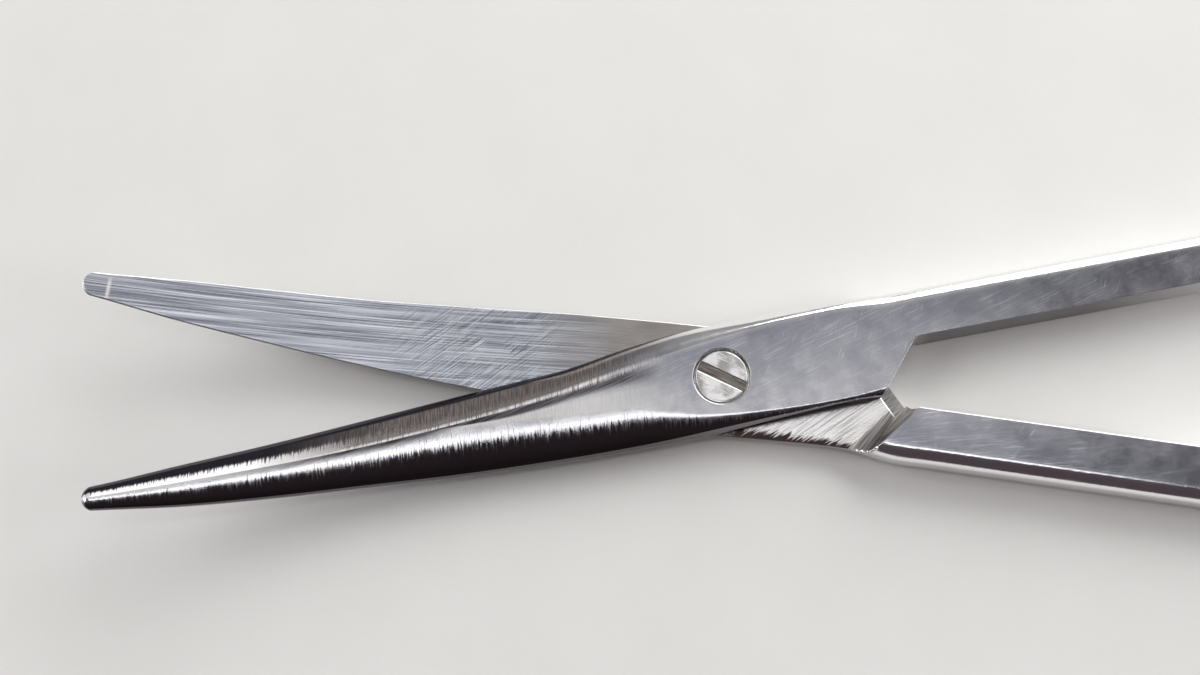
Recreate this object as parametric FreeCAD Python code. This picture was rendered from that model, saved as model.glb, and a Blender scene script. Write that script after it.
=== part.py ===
# Dissecting scissors with curved blades, a lap joint and a slotted pivot screw.
# Lengths are in millimetres and angles in degrees.
#
# Frame: the pivot axis is Z and the flat underside of the joint lies on z = 0.
# -X runs to the blade tips, +X to the finger rings, +Z to the side with the screw head.
# X halves the angle between the two halves at rest.
#
# Each half is drawn along X as an upper half, with its outer face on top.
# The lower half is the same drawing turned over about X, with its blade bent the other way.
import FreeCAD
import Part

import math
import os

V = FreeCAD.Vector
ORIGIN = V(0, 0, 0)
UP = V(0, 0, 1)

# Whole tool
OPENING = 19.5            # angle between the two halves at rest
THICKNESS = 4.0           # joint and shanks, outer face to outer face
RUNNING_GAP = 0.05        # between the two halves, all over the mating surface

# Blades
TIP_ROUND = 1.25          # radius of the blunt tip seen from above
CURVE_START = 18.0        # distance from the pivot at which the blades start to rise
CURVE_RADIUS = 118.0      # radius of the rise, seen from the side
SPINE_LAND = 0.25         # upright part of the blade's back, as a share of the blade's height

# Joint
JOINT_SIDE = 5.0          # pivot axis to the side of the joint that carries the blade's back
SHOULDER_REACH = 14.28    # pivot axis to the top corner line of the shoulder, square to it
SHOULDER_ANGLE = 50.2     # of the shoulder line from the half's own length
NOTCH_ANGLE = 48.6        # of the notch line from the half's own length
NOTCH_CORNER = 1.0        # plan radius of the notch's outer corner
NOTCH_BEVEL = 1.5         # width of the bevel that clears the groove of the other half
NOTCH_BEVEL_RISE = 1.4    # height of that bevel above the mating surface
NOTCH_BEVEL_END = 1.0     # shoulder's corner line to the end of the bevel

# Shanks
SHANK_INNER = 0.33        # half's own axis to the flat inner side
SHANK_ROUND = 1.35        # rounding of the two outer long edges
SIDE_STRAIGHT = 16.0      # distance from the pivot at which the joint's side runs into the shank's
SHANK_START = 20.0        # distance from the pivot at which the notch has ended
STRAIGHT_END = 47.0       # distance from the pivot at which the flat inner side ends
EDGE_BREAK = 0.15         # broken edges of the flat inner side

# Finger rings
RING_END = 112.0          # pivot axis to the far end of the rings
RING_LONG = 27.0          # opening for the finger, along the handle
RING_WIDE = 21.0          # opening for the finger, across the handle
RING_END_RADIUS = 8.3     # radius of the opening's two ends
RING_METAL = 4.2          # width of the ring's metal, seen from above
RING_ROUND = 1.75         # rounding of the ring's and the neck's long edges
RING_OFFSET = 1.3         # half's own axis to the inner side of the neck and the ring
NECK_LENGTH = 10.6        # rounded neck, from the tapering shank to the finger ring
NECK_WIDTH = 4.2
CROTCH_FILLET = 9.0       # between the neck and the outer side of the ring
HANDLE_SECTIONS = 5       # cross-sections drawn between the shank and the neck

# Pivot screw
HEAD_RADIUS = 2.43
HEAD_GAP = 0.2            # between the head and its counterbore, all round
HEAD_DEPTH = 1.1
HEAD_SUNK = 0.08          # top of the head below the face of the joint
HEAD_CHAMFER = 0.12
SEAT_GAP = 0.03           # under the head, so that the joint turns
STEM_RADIUS = 1.7         # plain bearing that the upper half turns on
STEM_GAP = 0.05           # running clearance round the bearing
TAIL_RADIUS = 1.45        # threaded end in the lower half, over the thread
THREAD_GAP = 0.02
SLOT_WIDTH = 0.97
SLOT_DEPTH = 0.6
SLOT_ANGLE = -28.0        # from X

# Cross-sections of the blade from its tip to the joint, and of the joint.
# place:  distance from the pivot towards the tip, as a share of the blade's length
# edge:   cutting-edge side            back:  the other side
# ridge:  where the ground bevel meets the crown        fall: where the crown starts to fall
# height: crown above the mating surface, as a share of half the thickness
# wall:   width and height of the steep wall above the cutting edge
# bulge:  0 for a flat ground bevel, 1 for a fully rounded side
BLADE_SECTIONS = [
    # place, edge, ridge, fall, back, height, wall width, wall height, bulge
    (1.000, 0.90, -0.25, -0.40, -1.20, 0.42, 0.25, 0.28, 0.25),
    (0.955, 1.15, -0.20, -0.36, -1.50, 0.50, 0.35, 0.40, 0.20),
    (0.855, 1.78, -0.12, -0.34, -2.18, 0.62, 0.42, 0.52, 0.15),
    (0.720, 2.42, 0.02, -0.38, -2.78, 0.75, 0.50, 0.65, 0.12),
    (0.580, 3.08, 0.25, -0.48, -3.30, 0.84, 0.52, 0.75, 0.12),
    (0.445, 3.62, 0.65, -0.80, -3.90, 0.92, 0.50, 0.80, 0.15),
    (0.330, 3.95, 1.15, -1.35, -4.35, 0.97, 0.45, 0.80, 0.22),
    (0.240, 4.14, 1.65, -1.90, -4.65, 0.995, 0.35, 0.70, 0.40),
    (0.140, 4.90, 2.45, -2.50, -4.85, 1.0, 0.20, 0.55, 0.70),
    (0.040, 5.32, 3.12, -3.45, -4.98, 1.0, 0.10, 0.45, 0.90),
    (-0.085, 5.05, 3.75, -4.10, -JOINT_SIDE, 1.0, 0.05, 0.40, 1.0),
    (-0.200, 4.90, 3.75, -4.35, -JOINT_SIDE, 1.0, 0.02, 0.50, 1.0),
]

HALF = THICKNESS / 2
NECK_START = RING_END - RING_LONG - 2 * RING_METAL - NECK_LENGTH
MATING = HALF + RUNNING_GAP / 2     # level of the mating surface in an upper half
NEAR = 0.01                         # two places this close are the same place
AWAY = 60.0                         # beyond everything that a tool cuts to that side


class HalfSpec:
    """What differs between the two hand-finished halves."""

    def __init__(self, name, blade_length, rise, shank_set, shank_width, notch_reach,
                 notch_fillet):
        self.name = name
        self.blade_length = blade_length    # pivot axis to tip
        self.rise = rise                    # +1 where the blade bends towards its outer face
        self.shank_set = shank_set          # the handle's turn from the blade's line
        self.shank_width = shank_width
        self.notch_reach = notch_reach      # pivot axis to the notch line, square to it
        self.notch_fillet = notch_fillet    # where the notch runs into the shank


FRONT = HalfSpec("front_half", 58.7, 1, -1.4, 4.65, 13.62, 1.3)
BACK = HalfSpec("back_half", 59.7, -1, 0.9, 4.95, 12.6, 0.5)


def rise_at(distance):
    """Height that the mating surface has gained at a distance from the pivot."""
    run = max(0.0, distance - CURVE_START)
    return CURVE_RADIUS - math.sqrt(CURVE_RADIUS ** 2 - run ** 2)


def line(a, b):
    return Part.LineSegment(a, b).toShape()


def arc(a, middle, b):
    return Part.Arc(a, middle, b).toShape()


def conic(a, corner, b):
    """A quarter of an ellipse from a to b that leaves and arrives along the corner's two sides."""
    curve = Part.BezierCurve()
    curve.setPoles([a, corner, b])
    curve.setWeight(2, math.sqrt(0.5))
    return curve.toShape()


def prism(outline, low, high):
    """A flat outline drawn at z = 0, extruded from one level to another."""
    solid = Part.Face(outline).extrude(V(0, 0, high - low))
    solid.translate(V(0, 0, low))
    return solid


def rounded_outline(corners):
    """A closed outline through corners (x, y, radius), each rounded to its radius."""
    points = [V(x, y, 0) for x, y, radius in corners]
    count = len(corners)
    starts, middles, ends = [], [], []
    for i, corner in enumerate(points):
        radius = corners[i][2]
        to_last = (points[i - 1] - corner).normalize()
        to_next = (points[(i + 1) % count] - corner).normalize()
        half_angle = to_last.getAngle(to_next) / 2
        inwards = (to_last + to_next).normalize()
        starts.append(corner + to_last * (radius / math.tan(half_angle)))
        ends.append(corner + to_next * (radius / math.tan(half_angle)))
        middles.append(corner + inwards * (radius / math.sin(half_angle) - radius))
    edges = []
    for i in range(count):
        if corners[i][2]:
            edges.append(arc(starts[i], middles[i], ends[i]))
        edges.append(line(ends[i], starts[(i + 1) % count]))
    return Part.Wire(edges)


def section(x, level, edge, ridge, fall, back, height, wall_width, wall_height, bulge, land):
    """One cross-section at x, the same above and below its own level."""

    def at(y, up):
        return V(x, y, level + up)

    outline = []
    for way in (1, -1):
        wall_top = at(edge - wall_width, way * wall_height)
        ridge_top = at(ridge, way * height)
        square = at(edge - wall_width, way * height)
        flat = (wall_top + ridge_top) / 2
        outline += [
            line(at(edge, 0), wall_top),
            conic(wall_top, flat + (square - flat) * bulge, ridge_top),
            line(ridge_top, at(fall, way * height)),
            conic(at(fall, way * height), at(back, way * height), at(back, way * land)),
        ]
    outline.append(line(at(back, land), at(back, -land)))
    return Part.Wire(Part.__sortEdges__(outline))


def blade_section(row, spec):
    place, edge, ridge, fall, back, height, wall_width, wall_height, bulge = row
    distance = place * spec.blade_length
    level = HALF + spec.rise * rise_at(distance)
    crown = height * HALF
    return section(-distance, level, edge, ridge, fall, back, crown, wall_width, wall_height,
                   bulge, SPINE_LAND * crown)


def handle_section(x, inner, width, inner_round, outer_round):
    outer = inner + width
    return section(x, HALF, outer, outer - outer_round, inner + inner_round, inner, HALF, 0.0,
                   HALF - outer_round, 1.0, HALF - inner_round)


def forging(spec):
    """Blade and joint of one half before anything is milled or ground off them."""
    wires = [blade_section(row, spec) for row in BLADE_SECTIONS]
    for x in (SIDE_STRAIGHT, SHANK_START):
        wire = handle_section(x, -JOINT_SIDE, JOINT_SIDE + SHANK_INNER + spec.shank_width,
                              SHANK_ROUND, SHANK_ROUND)
        wire.rotate(ORIGIN, UP, spec.shank_set)
        wires.append(wire)
    return Part.makeLoft(wires, True, False)


def mating_tool(rise):
    """All that lies below the mating surface: a disc about the pivot with a curved top."""
    middle = (CURVE_START + AWAY) / 2
    profile = [
        line(V(0, 0, MATING), V(CURVE_START, 0, MATING)),
        arc(V(CURVE_START, 0, MATING), V(middle, 0, MATING + rise * rise_at(middle)),
            V(AWAY, 0, MATING + rise * rise_at(AWAY))),
        line(V(AWAY, 0, MATING + rise * rise_at(AWAY)), V(AWAY, 0, -AWAY)),
        line(V(AWAY, 0, -AWAY), V(0, 0, -AWAY)),
        line(V(0, 0, -AWAY), V(0, 0, MATING)),
    ]
    return Part.Face(Part.Wire(profile)).revolve(ORIGIN, UP, 360)


def behind_shoulder(setback):
    """A block over all that is further from the pivot than the shoulder line less a setback."""
    block = Part.makeBox(AWAY, 2 * AWAY, 2 * AWAY, V(SHOULDER_REACH - setback, -AWAY, -AWAY))
    block.rotate(ORIGIN, UP, 90 - SHOULDER_ANGLE)
    return block


def lap_tool(spec):
    """What is milled off the inner side of a half, up to the round groove at its shoulder."""
    groove = Part.makeCylinder(MATING, 2 * AWAY, V(SHOULDER_REACH - MATING, -AWAY, 0), V(0, 1, 0))
    groove.rotate(ORIGIN, UP, 90 - SHOULDER_ANGLE)
    return mating_tool(spec.rise).cut(behind_shoulder(MATING).cut(groove))


def crossing(point, way, other_point, other_way):
    """Where a line through one point meets a line through another, seen from above."""
    gap = other_point - point
    share = (gap.x * other_way.y - gap.y * other_way.x) / (way.x * other_way.y - way.y * other_way.x)
    return point + way * share


def notch_tool(spec):
    """What is cut away between the joint's side and the flat inner side of the shank."""
    turn = FreeCAD.Rotation(UP, spec.shank_set)
    slant = FreeCAD.Rotation(UP, NOTCH_ANGLE).multVec(V(1, 0, 0))
    slant_foot = FreeCAD.Rotation(UP, NOTCH_ANGLE - 90).multVec(V(spec.notch_reach, 0, 0))
    inner = turn.multVec(V(0, SHANK_INNER, 0))
    along = turn.multVec(V(1, 0, 0))
    side = V(0, -JOINT_SIDE - NEAR, 0)
    corner = crossing(slant_foot, slant, side, V(1, 0, 0))
    root = crossing(slant_foot, slant, inner, along)
    far = inner + along * AWAY
    return prism(rounded_outline([
        (corner.x - NOTCH_CORNER, side.y, 0),
        (corner.x, corner.y, NOTCH_CORNER),
        (root.x, root.y, spec.notch_fillet),
        (far.x, far.y, 0),
        (far.x, -AWAY, 0),
        (corner.x - NOTCH_CORNER, -AWAY, 0),
    ]), -AWAY, AWAY)


def notch_bevel(spec):
    """The bevel on the inner side of the notch wall, which clears the other half's groove."""
    wall = spec.notch_reach
    profile = Part.makePolygon([
        V(wall - NOTCH_BEVEL, -AWAY, MATING - HALF),
        V(wall - NOTCH_BEVEL, -AWAY, MATING),
        V(wall, -AWAY, MATING + NOTCH_BEVEL_RISE),
        V(wall + HALF, -AWAY, MATING + NOTCH_BEVEL_RISE),
        V(wall + HALF, -AWAY, MATING - HALF),
        V(wall - NOTCH_BEVEL, -AWAY, MATING - HALF),
    ])
    bevel = Part.Face(profile).extrude(V(0, 2 * AWAY, 0))
    bevel.rotate(ORIGIN, UP, NOTCH_ANGLE - 90)
    return bevel.cut(behind_shoulder(NOTCH_BEVEL_END))


def tip_tool(spec):
    """What is ground off round the blunt tip."""
    tip, next_to_tip = BLADE_SECTIONS[:2]
    centre = V(TIP_ROUND - spec.blade_length, (next_to_tip[1] + next_to_tip[4]) / 2, 0)
    block = Part.makeBox(AWAY, 2 * AWAY, 2 * AWAY, centre - V(AWAY, AWAY, AWAY))
    return block.cut(prism(Part.Wire(Part.makeCircle(TIP_ROUND, centre)), -AWAY, AWAY))


def middle_of(edge):
    return edge.valueAt((edge.FirstParameter + edge.LastParameter) / 2)


def oval(centre, long, wide, end_radius):
    """A closed outline of four tangent arcs."""
    side_radius = (long ** 2 + wide ** 2 - 2 * long * end_radius) / (2 * (wide - end_radius))
    end_centre = V(long - end_radius, 0, 0)
    side_centre = V(0, wide - side_radius, 0)
    join = end_centre + (end_centre - side_centre).normalize() * end_radius
    joins = [centre + V(x * join.x, y * join.y, 0) for x, y in ((1, 1), (-1, 1), (-1, -1), (1, -1))]
    peaks = [centre + V(x, y, 0) for x, y in ((0, wide), (-long, 0), (0, -wide), (long, 0))]
    return Part.Wire([arc(joins[i], peaks[i], joins[(i + 1) % 4]) for i in range(4)])


def ring_and_neck():
    """The neck and the finger ring: a flat form with all its long edges rounded."""
    long = RING_LONG / 2
    wide = RING_WIDE / 2
    centre = V(RING_END - RING_METAL - long, RING_OFFSET + RING_METAL + wide, 0)
    ring = prism(oval(centre, long + RING_METAL, wide + RING_METAL, RING_END_RADIUS + RING_METAL),
                 0, THICKNESS)
    neck = Part.makeBox(centre.x - NECK_START, NECK_WIDTH, THICKNESS,
                        V(NECK_START, RING_OFFSET, 0))
    plate = ring.fuse(neck).removeSplitter()
    plate = plate.cut(prism(oval(centre, long, wide, RING_END_RADIUS), 0, THICKNESS))
    crotch = []
    for edge in plate.Edges:
        middle = middle_of(edge)
        on_neck_side = abs(middle.y - RING_OFFSET - NECK_WIDTH) < NEAR
        if on_neck_side and abs(middle.z - HALF) < NEAR and middle.x > NECK_START + NEAR:
            crotch.append(edge)
    plate = plate.makeFillet(CROTCH_FILLET, crotch)
    rims = []
    for edge in plate.Edges:
        middle = middle_of(edge)
        if abs(middle.z - HALF) > HALF - NEAR and middle.x > NECK_START + NEAR:
            rims.append(edge)
    return plate.makeFillet(RING_ROUND, rims)


def handle(spec):
    """The straight shank, its flat inner side going over into the neck, and the finger ring."""
    start = handle_section(SHANK_START, SHANK_INNER, spec.shank_width, EDGE_BREAK, SHANK_ROUND)
    shank = Part.Face(start).extrude(V(STRAIGHT_END - SHANK_START, 0, 0))
    wires = []
    for i in range(HANDLE_SECTIONS):
        share = i / (HANDLE_SECTIONS - 1)
        blend = share * share * (3 - 2 * share)
        wires.append(handle_section(
            STRAIGHT_END + (NECK_START - STRAIGHT_END) * share,
            SHANK_INNER + (RING_OFFSET - SHANK_INNER) * blend,
            spec.shank_width + (NECK_WIDTH - spec.shank_width) * blend,
            EDGE_BREAK + (RING_ROUND - EDGE_BREAK) * blend,
            SHANK_ROUND + (RING_ROUND - SHANK_ROUND) * blend))
    solid = shank.fuse([Part.makeLoft(wires, True, False), ring_and_neck()])
    solid.rotate(ORIGIN, UP, spec.shank_set)
    return solid


def half(spec):
    """One half as it is drawn: along X, with its outer face on top."""
    solid = forging(spec)
    for tool in (lap_tool(spec), notch_tool(spec), notch_bevel(spec), tip_tool(spec)):
        solid = solid.cut(tool)
    return solid.fuse(handle(spec))


def front_half():
    """The upper half, bored for the screw's plain stem and counterbored for its head."""
    seat = THICKNESS - HEAD_SUNK - HEAD_DEPTH - SEAT_GAP
    solid = half(FRONT)
    solid = solid.cut(Part.makeCylinder(STEM_RADIUS + STEM_GAP, THICKNESS))
    solid = solid.cut(Part.makeCylinder(HEAD_RADIUS + HEAD_GAP, THICKNESS, V(0, 0, seat)))
    solid.rotate(ORIGIN, UP, OPENING / 2)
    return solid


def back_half():
    """The lower half, with the hole that holds the screw's thread."""
    solid = half(BACK)
    solid.rotate(V(0, 0, HALF), V(1, 0, 0), 180)
    solid = solid.cut(Part.makeCylinder(TAIL_RADIUS + THREAD_GAP, THICKNESS))
    solid.rotate(ORIGIN, UP, -OPENING / 2)
    return solid


def pivot_screw():
    """A sunk cheese head with a driver slot, a plain stem and a threaded tail cut off flush."""
    top = THICKNESS - HEAD_SUNK
    head = Part.makeCylinder(HEAD_RADIUS, HEAD_DEPTH, V(0, 0, top - HEAD_DEPTH))
    rim = [edge for edge in head.Edges if abs(edge.CenterOfMass.z - top) < NEAR]
    head = head.makeChamfer(HEAD_CHAMFER, rim)
    lower_face = THICKNESS - MATING
    stem = Part.makeCylinder(STEM_RADIUS, top - HEAD_DEPTH - lower_face, V(0, 0, lower_face))
    tail = Part.makeCylinder(TAIL_RADIUS, lower_face)
    slot = Part.makeBox(4 * HEAD_RADIUS, SLOT_WIDTH, 2 * SLOT_DEPTH,
                        V(-2 * HEAD_RADIUS, -SLOT_WIDTH / 2, top - SLOT_DEPTH))
    slot.rotate(ORIGIN, UP, SLOT_ANGLE)
    return head.fuse([stem, tail]).removeSplitter().cut(slot)


def save(name, shape):
    print(name, "solids", len(shape.Solids), "faces", len(shape.Faces), "valid", shape.isValid(),
          "volume %.2f" % shape.Volume)
    shape.exportStep("parts/%s.step" % name)


os.makedirs("parts", exist_ok=True)
save(FRONT.name, front_half())
save(BACK.name, back_half())
save("pivot_screw", pivot_screw())
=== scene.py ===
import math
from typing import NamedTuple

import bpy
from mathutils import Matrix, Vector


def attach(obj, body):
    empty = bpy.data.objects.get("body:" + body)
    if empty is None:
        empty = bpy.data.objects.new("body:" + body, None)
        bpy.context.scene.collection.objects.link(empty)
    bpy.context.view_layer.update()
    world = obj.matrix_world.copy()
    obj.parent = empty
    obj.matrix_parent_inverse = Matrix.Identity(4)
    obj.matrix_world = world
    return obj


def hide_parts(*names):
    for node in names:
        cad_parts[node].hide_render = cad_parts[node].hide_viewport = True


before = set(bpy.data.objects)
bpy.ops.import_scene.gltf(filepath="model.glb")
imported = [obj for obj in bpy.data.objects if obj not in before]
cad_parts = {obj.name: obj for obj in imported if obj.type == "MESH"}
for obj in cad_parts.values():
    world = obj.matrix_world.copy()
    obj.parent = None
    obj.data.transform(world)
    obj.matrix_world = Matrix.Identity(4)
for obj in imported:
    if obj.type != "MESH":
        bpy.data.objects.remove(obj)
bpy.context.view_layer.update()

# %% [markdown]
# Dissecting scissors lie half open on a pale table, screw head up.
# Two forged steel halves lap over each other at a slotted screw, and their blades bend up off the table.
# The frame gives every piece its place: the pivot axis is Z, the blades point along -X,
# the finger rings lie towards +X, and the table is z = 0.

MM = 0.001

# %% [markdown]
# The camera comes first, because all looks are judged through it.
# A close macro view looks down on the joint, leaning a little towards the near side.
# The handles run out of the picture on the right, as they do in a detail picture of a tool.

# %% Camera
CAMERA_PLACE = Vector((0.64, -30.67, 141.10)) * MM
CAMERA_TILT = math.radians(15.0)  # away from straight down
CAMERA_HEADING = math.radians(-21.3)  # of that tilt, from the picture's upright
CAMERA_TURN = math.radians(-2.635)  # of the picture's level line against X
CAMERA_LENS = 45.78  # mm, on a sensor 36 mm wide
SENSOR_WIDTH = 36.0
CLIP_START = 0.01
CLIP_END = 20.0


def camera_axes():
    """The picture's right, up and backward directions."""
    forward = Vector((math.sin(CAMERA_TILT) * math.sin(CAMERA_HEADING),
                      math.sin(CAMERA_TILT) * math.cos(CAMERA_HEADING),
                      -math.cos(CAMERA_TILT)))
    level = Vector((1, 0, 0))
    right = (level - forward * level.dot(forward)).normalized()
    turn = Matrix.Rotation(CAMERA_TURN, 3, "Z")
    return turn @ right, turn @ right.cross(forward), turn @ -forward


right, up, backward = camera_axes()
camera = bpy.data.objects.new("camera", bpy.data.cameras.new("camera"))
camera.data.lens = CAMERA_LENS
camera.data.sensor_width = SENSOR_WIDTH
camera.data.clip_start = CLIP_START
camera.data.clip_end = CLIP_END
axes = Matrix((right, up, backward)).transposed()
camera.matrix_world = Matrix.Translation(CAMERA_PLACE) @ axes.to_4x4()
bpy.context.scene.collection.objects.link(camera)
bpy.context.scene.camera = camera
bpy.context.scene.view_settings.view_transform = "Standard"
print("camera looks down at", round(math.degrees(math.acos(backward.z)), 1), "degrees from upright")

# %% [markdown]
# Two helpers keep the node trees short to read.
# One turns a colour, given as a web colour, into the linear colour that a shader takes.
# The other adds a node, sets it and links it in one call.

# %% Colour and node helpers
SRGB_TOE = 0.04045
MIX_A, MIX_B, MIX_RESULT = 6, 7, 2  # the colour sockets of a Mix node


def linear(hex_colour):
    """An sRGB hex colour as the linear colour that a shader takes."""
    parts = [int(hex_colour[i:i + 2], 16) / 255 for i in (1, 3, 5)]
    return [c / 12.92 if c <= SRGB_TOE else ((c + 0.055) / 1.055) ** 2.4 for c in parts] + [1.0]


def add_node(tree, kind, values=None, links=None, **settings):
    """Adds a node, sets its settings and socket values, and links sockets into it."""
    node = tree.nodes.new("ShaderNode" + kind)
    for name, value in settings.items():
        setattr(node, name, value)
    for name, value in (values or {}).items():
        node.inputs[name].default_value = value
    for name, socket in (links or {}).items():
        tree.links.new(socket, node.inputs[name])
    return node


def new_material(name):
    material = bpy.data.materials.new(name)
    material.use_nodes = True
    return material, material.node_tree, material.node_tree.nodes["Principled BSDF"]


print("white as a linear colour:", linear("#ffffff"))

# %% [markdown]
# The table is a wide plane, so that low views also see nothing but table behind the scissors.
# It is matt white laminate: a flat colour with a hardly visible cloudiness and a soft sheen.

# %% Table
FLOOR_SIZE = 8.0
FLOOR_CLOUDS = 90.0  # noise scale: a cloud is about 11 mm wide
FLOOR_ROUGHNESS = 0.85
bpy.ops.object.select_all(action="DESELECT")
bpy.ops.mesh.primitive_plane_add(size=FLOOR_SIZE, location=(0, 0, 0))
table = bpy.context.active_object
table.name = "table"
material, tree, shader = new_material("matt_white_laminate")
place = add_node(tree, "TexCoord")
clouds = add_node(tree, "TexNoise", {"Scale": FLOOR_CLOUDS, "Detail": 4.0},
                  {"Vector": place.outputs["Object"]})
tone = add_node(tree, "ValToRGB", links={"Fac": clouds.outputs["Fac"]})
tone.color_ramp.elements[0].color = linear("#e9e8e4")
tone.color_ramp.elements[1].color = linear("#f1f0ed")
tree.links.new(tone.outputs["Color"], shader.inputs["Base Color"])
shader.inputs["Roughness"].default_value = FLOOR_ROUGHNESS
table.data.materials.append(material)
print("table", FLOOR_SIZE, "m wide")

# %% [markdown]
# Polished steel shows its surroundings more than its own colour,
# so the lamps are placed for their reflections.
# The window box stands behind the scissors and draws the white line along the shanks' rounded edges.
# A narrow box overhead draws the white line along the blades' crowns,
# and a dimmer, wider one fills the flat faces.
# Two boxes at the sides only lift the table and catch on the faces cut across the tool.
# The near side stays dark, as a room is behind the one who looks, which makes the polished flanks dark.

# %% Lamps


def softbox(name, place, size, length, radiance):
    """A rectangular lamp that faces the joint, as bright as its radiance from every side."""
    lamp = bpy.data.lights.new(name, "AREA")
    lamp.shape = "RECTANGLE"
    lamp.size = size
    lamp.size_y = length
    lamp.energy = radiance * math.pi * size * length
    holder = bpy.data.objects.new(name, lamp)
    holder.location = place
    holder.rotation_euler = (-Vector(place)).to_track_quat("-Z", "Y").to_euler()
    bpy.context.scene.collection.objects.link(holder)


softbox("window", (0.34, 0.51, 0.30), 0.82, 0.60, 3.8)
softbox("crown_strip", (0.0, -0.004, 0.70), 0.36, 0.07, 4.4)
softbox("ceiling", (-0.02, 0.19, 0.70), 0.34, 0.26, 0.50)
softbox("left_box", (-0.70, 0.10, 0.42), 0.50, 0.50, 3.0)
softbox("right_box", (0.75, -0.05, 0.40), 0.50, 0.40, 3.0)
print("lamps:", [lamp.name for lamp in bpy.data.lights])

# %% World
NEAR_SIDE = (0.062, 0.048, 0.054, 1)
FAR_SIDE = (0.25, 0.245, 0.25, 1)
DARK_UP_TO, BRIGHT_FROM = -0.05, 0.45  # how far back a direction points, from -1 to 1
world = bpy.data.worlds.new("studio")
bpy.context.scene.world = world
world.use_nodes = True
tree = world.node_tree
place = add_node(tree, "TexCoord")
parts = add_node(tree, "SeparateXYZ", links={"Vector": place.outputs["Generated"]})
share = add_node(tree, "MapRange", {"From Min": DARK_UP_TO, "From Max": BRIGHT_FROM},
                 {"Value": parts.outputs["Y"]})
sides = add_node(tree, "Mix", {MIX_A: NEAR_SIDE, MIX_B: FAR_SIDE}, {"Factor": share.outputs["Result"]},
                 data_type="RGBA")
tree.links.new(sides.outputs[MIX_RESULT], tree.nodes["Background"].inputs["Color"])
print("world goes from", NEAR_SIDE[0], "on the near side to", FAR_SIDE[0], "on the far side")

# %% [markdown]
# All finishes of the steel share the same steps.
# The first turns the object's own coordinates so that x runs along one half, in millimetres.
# The second draws grinding or brushing: noise that is stretched along the wheel's way and squeezed
# across it. Real brush lines are a few hundredths of a millimetre wide, and are drawn coarser here,
# so that a picture of the whole tool can hold them.
# The third finds where several limits hold at once, and the fourth lays a colour there.
# The fifth finds the edges: a rounded normal that differs from the true one lies on an edge,
# and an edge is made rougher and painted near white, partly as wear from handling and partly as a painted
# highlight.
# The last puts colour, roughness and relief into the shader.

# %% Steps that every steel finish shares
OPENING = math.radians(19.5)
EDGE_WIDTH = 0.16 * MM
EDGE_SAMPLES = 8
OFF_EDGE, ON_EDGE = 0.97, 0.80  # how alike the rounded and the true normal are there
RUBBED = 0.5  # roughness of rubbed edges
LINE_DEPTH = 7e-6  # of brush lines, in metres
FLAT_LINES = 40.0  # mm over which lines change upwards, so that curved faces keep them


def along_half(tree, turn):
    """Object coordinates in mm, turned so that x runs along a half."""
    place = add_node(tree, "TexCoord")
    return add_node(tree, "Mapping", {"Rotation": (0, 0, turn), "Scale": (1 / MM,) * 3},
                    {"Vector": place.outputs["Object"]}).outputs["Vector"]


def brush(tree, place, degrees, long, wide, detail):
    """Grinding lines that run at an angle to x, each about so long and so wide in mm."""
    turned = add_node(tree, "Mapping", {"Rotation": (0, 0, -math.radians(degrees))}, {"Vector": place})
    squeezed = add_node(tree, "Mapping", {"Scale": (1 / long, 1 / wide, 1 / FLAT_LINES)},
                        {"Vector": turned.outputs["Vector"]})
    lines = add_node(tree, "TexNoise", {"Scale": 1.0, "Detail": detail},
                     {"Vector": squeezed.outputs["Vector"]})
    return lines.outputs["Fac"]


def where(tree, *limits):
    """1 where all limits hold: each is a mask, or a value with what it is where its mask is 0 and 1.

    Noise stays near 0.5, so limits close to that pick broad patches, and limits far from it thin marks.
    """
    found = None
    for limit in limits:
        if isinstance(limit, tuple):
            value, start, end = limit
            limit = add_node(tree, "MapRange", {"From Min": start, "From Max": end},
                             {"Value": value}).outputs["Result"]
        if found is None:
            found = limit
        else:
            found = add_node(tree, "Math", links={0: found, 1: limit}, operation="MULTIPLY").outputs["Value"]
    return found


def paint(tree, under, over, *limits):
    """One colour laid over another where the limits hold. Both are hex colours or sockets."""
    node = add_node(tree, "Mix", links={"Factor": where(tree, *limits)}, data_type="RGBA")
    for index, colour in ((MIX_A, under), (MIX_B, over)):
        if isinstance(colour, str):
            node.inputs[index].default_value = linear(colour)
        else:
            tree.links.new(colour, node.inputs[index])
    return node.outputs[MIX_RESULT]


def worn_and_highlit_edges(tree, width):
    """The rounded normal, and a mask that is 1 on edges."""
    rounded = add_node(tree, "Bevel", {"Radius": width}, samples=EDGE_SAMPLES).outputs["Normal"]
    true = add_node(tree, "NewGeometry").outputs["Normal"]
    alike = add_node(tree, "VectorMath", links={0: rounded, 1: true}, operation="DOT_PRODUCT")
    return rounded, where(tree, (alike.outputs["Value"], OFF_EDGE, ON_EDGE))


def finish(tree, shader, colour, roughness, relief, edge_width=EDGE_WIDTH):
    """Sets a steel's shader, with its edges rougher and painted near white, as wear and as a painted
    highlight.
    """
    rounded, edges = worn_and_highlit_edges(tree, edge_width)
    # edges painted near white: wear, and a painted highlight
    tree.links.new(paint(tree, colour, "#fcfcfd", edges), shader.inputs["Base Color"])
    dulled = add_node(tree, "MapRange", {"To Max": RUBBED}, {"Value": edges, "To Min": roughness})
    tree.links.new(dulled.outputs["Result"], shader.inputs["Roughness"])
    bump = add_node(tree, "Bump", {"Strength": 1.0, "Distance": LINE_DEPTH},
                    {"Height": relief, "Normal": rounded})
    tree.links.new(bump.outputs["Normal"], shader.inputs["Normal"])
    shader.inputs["Metallic"].default_value = 1.0


print("rubbed edges are", round(EDGE_WIDTH / MM, 2), "mm wide")
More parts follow.
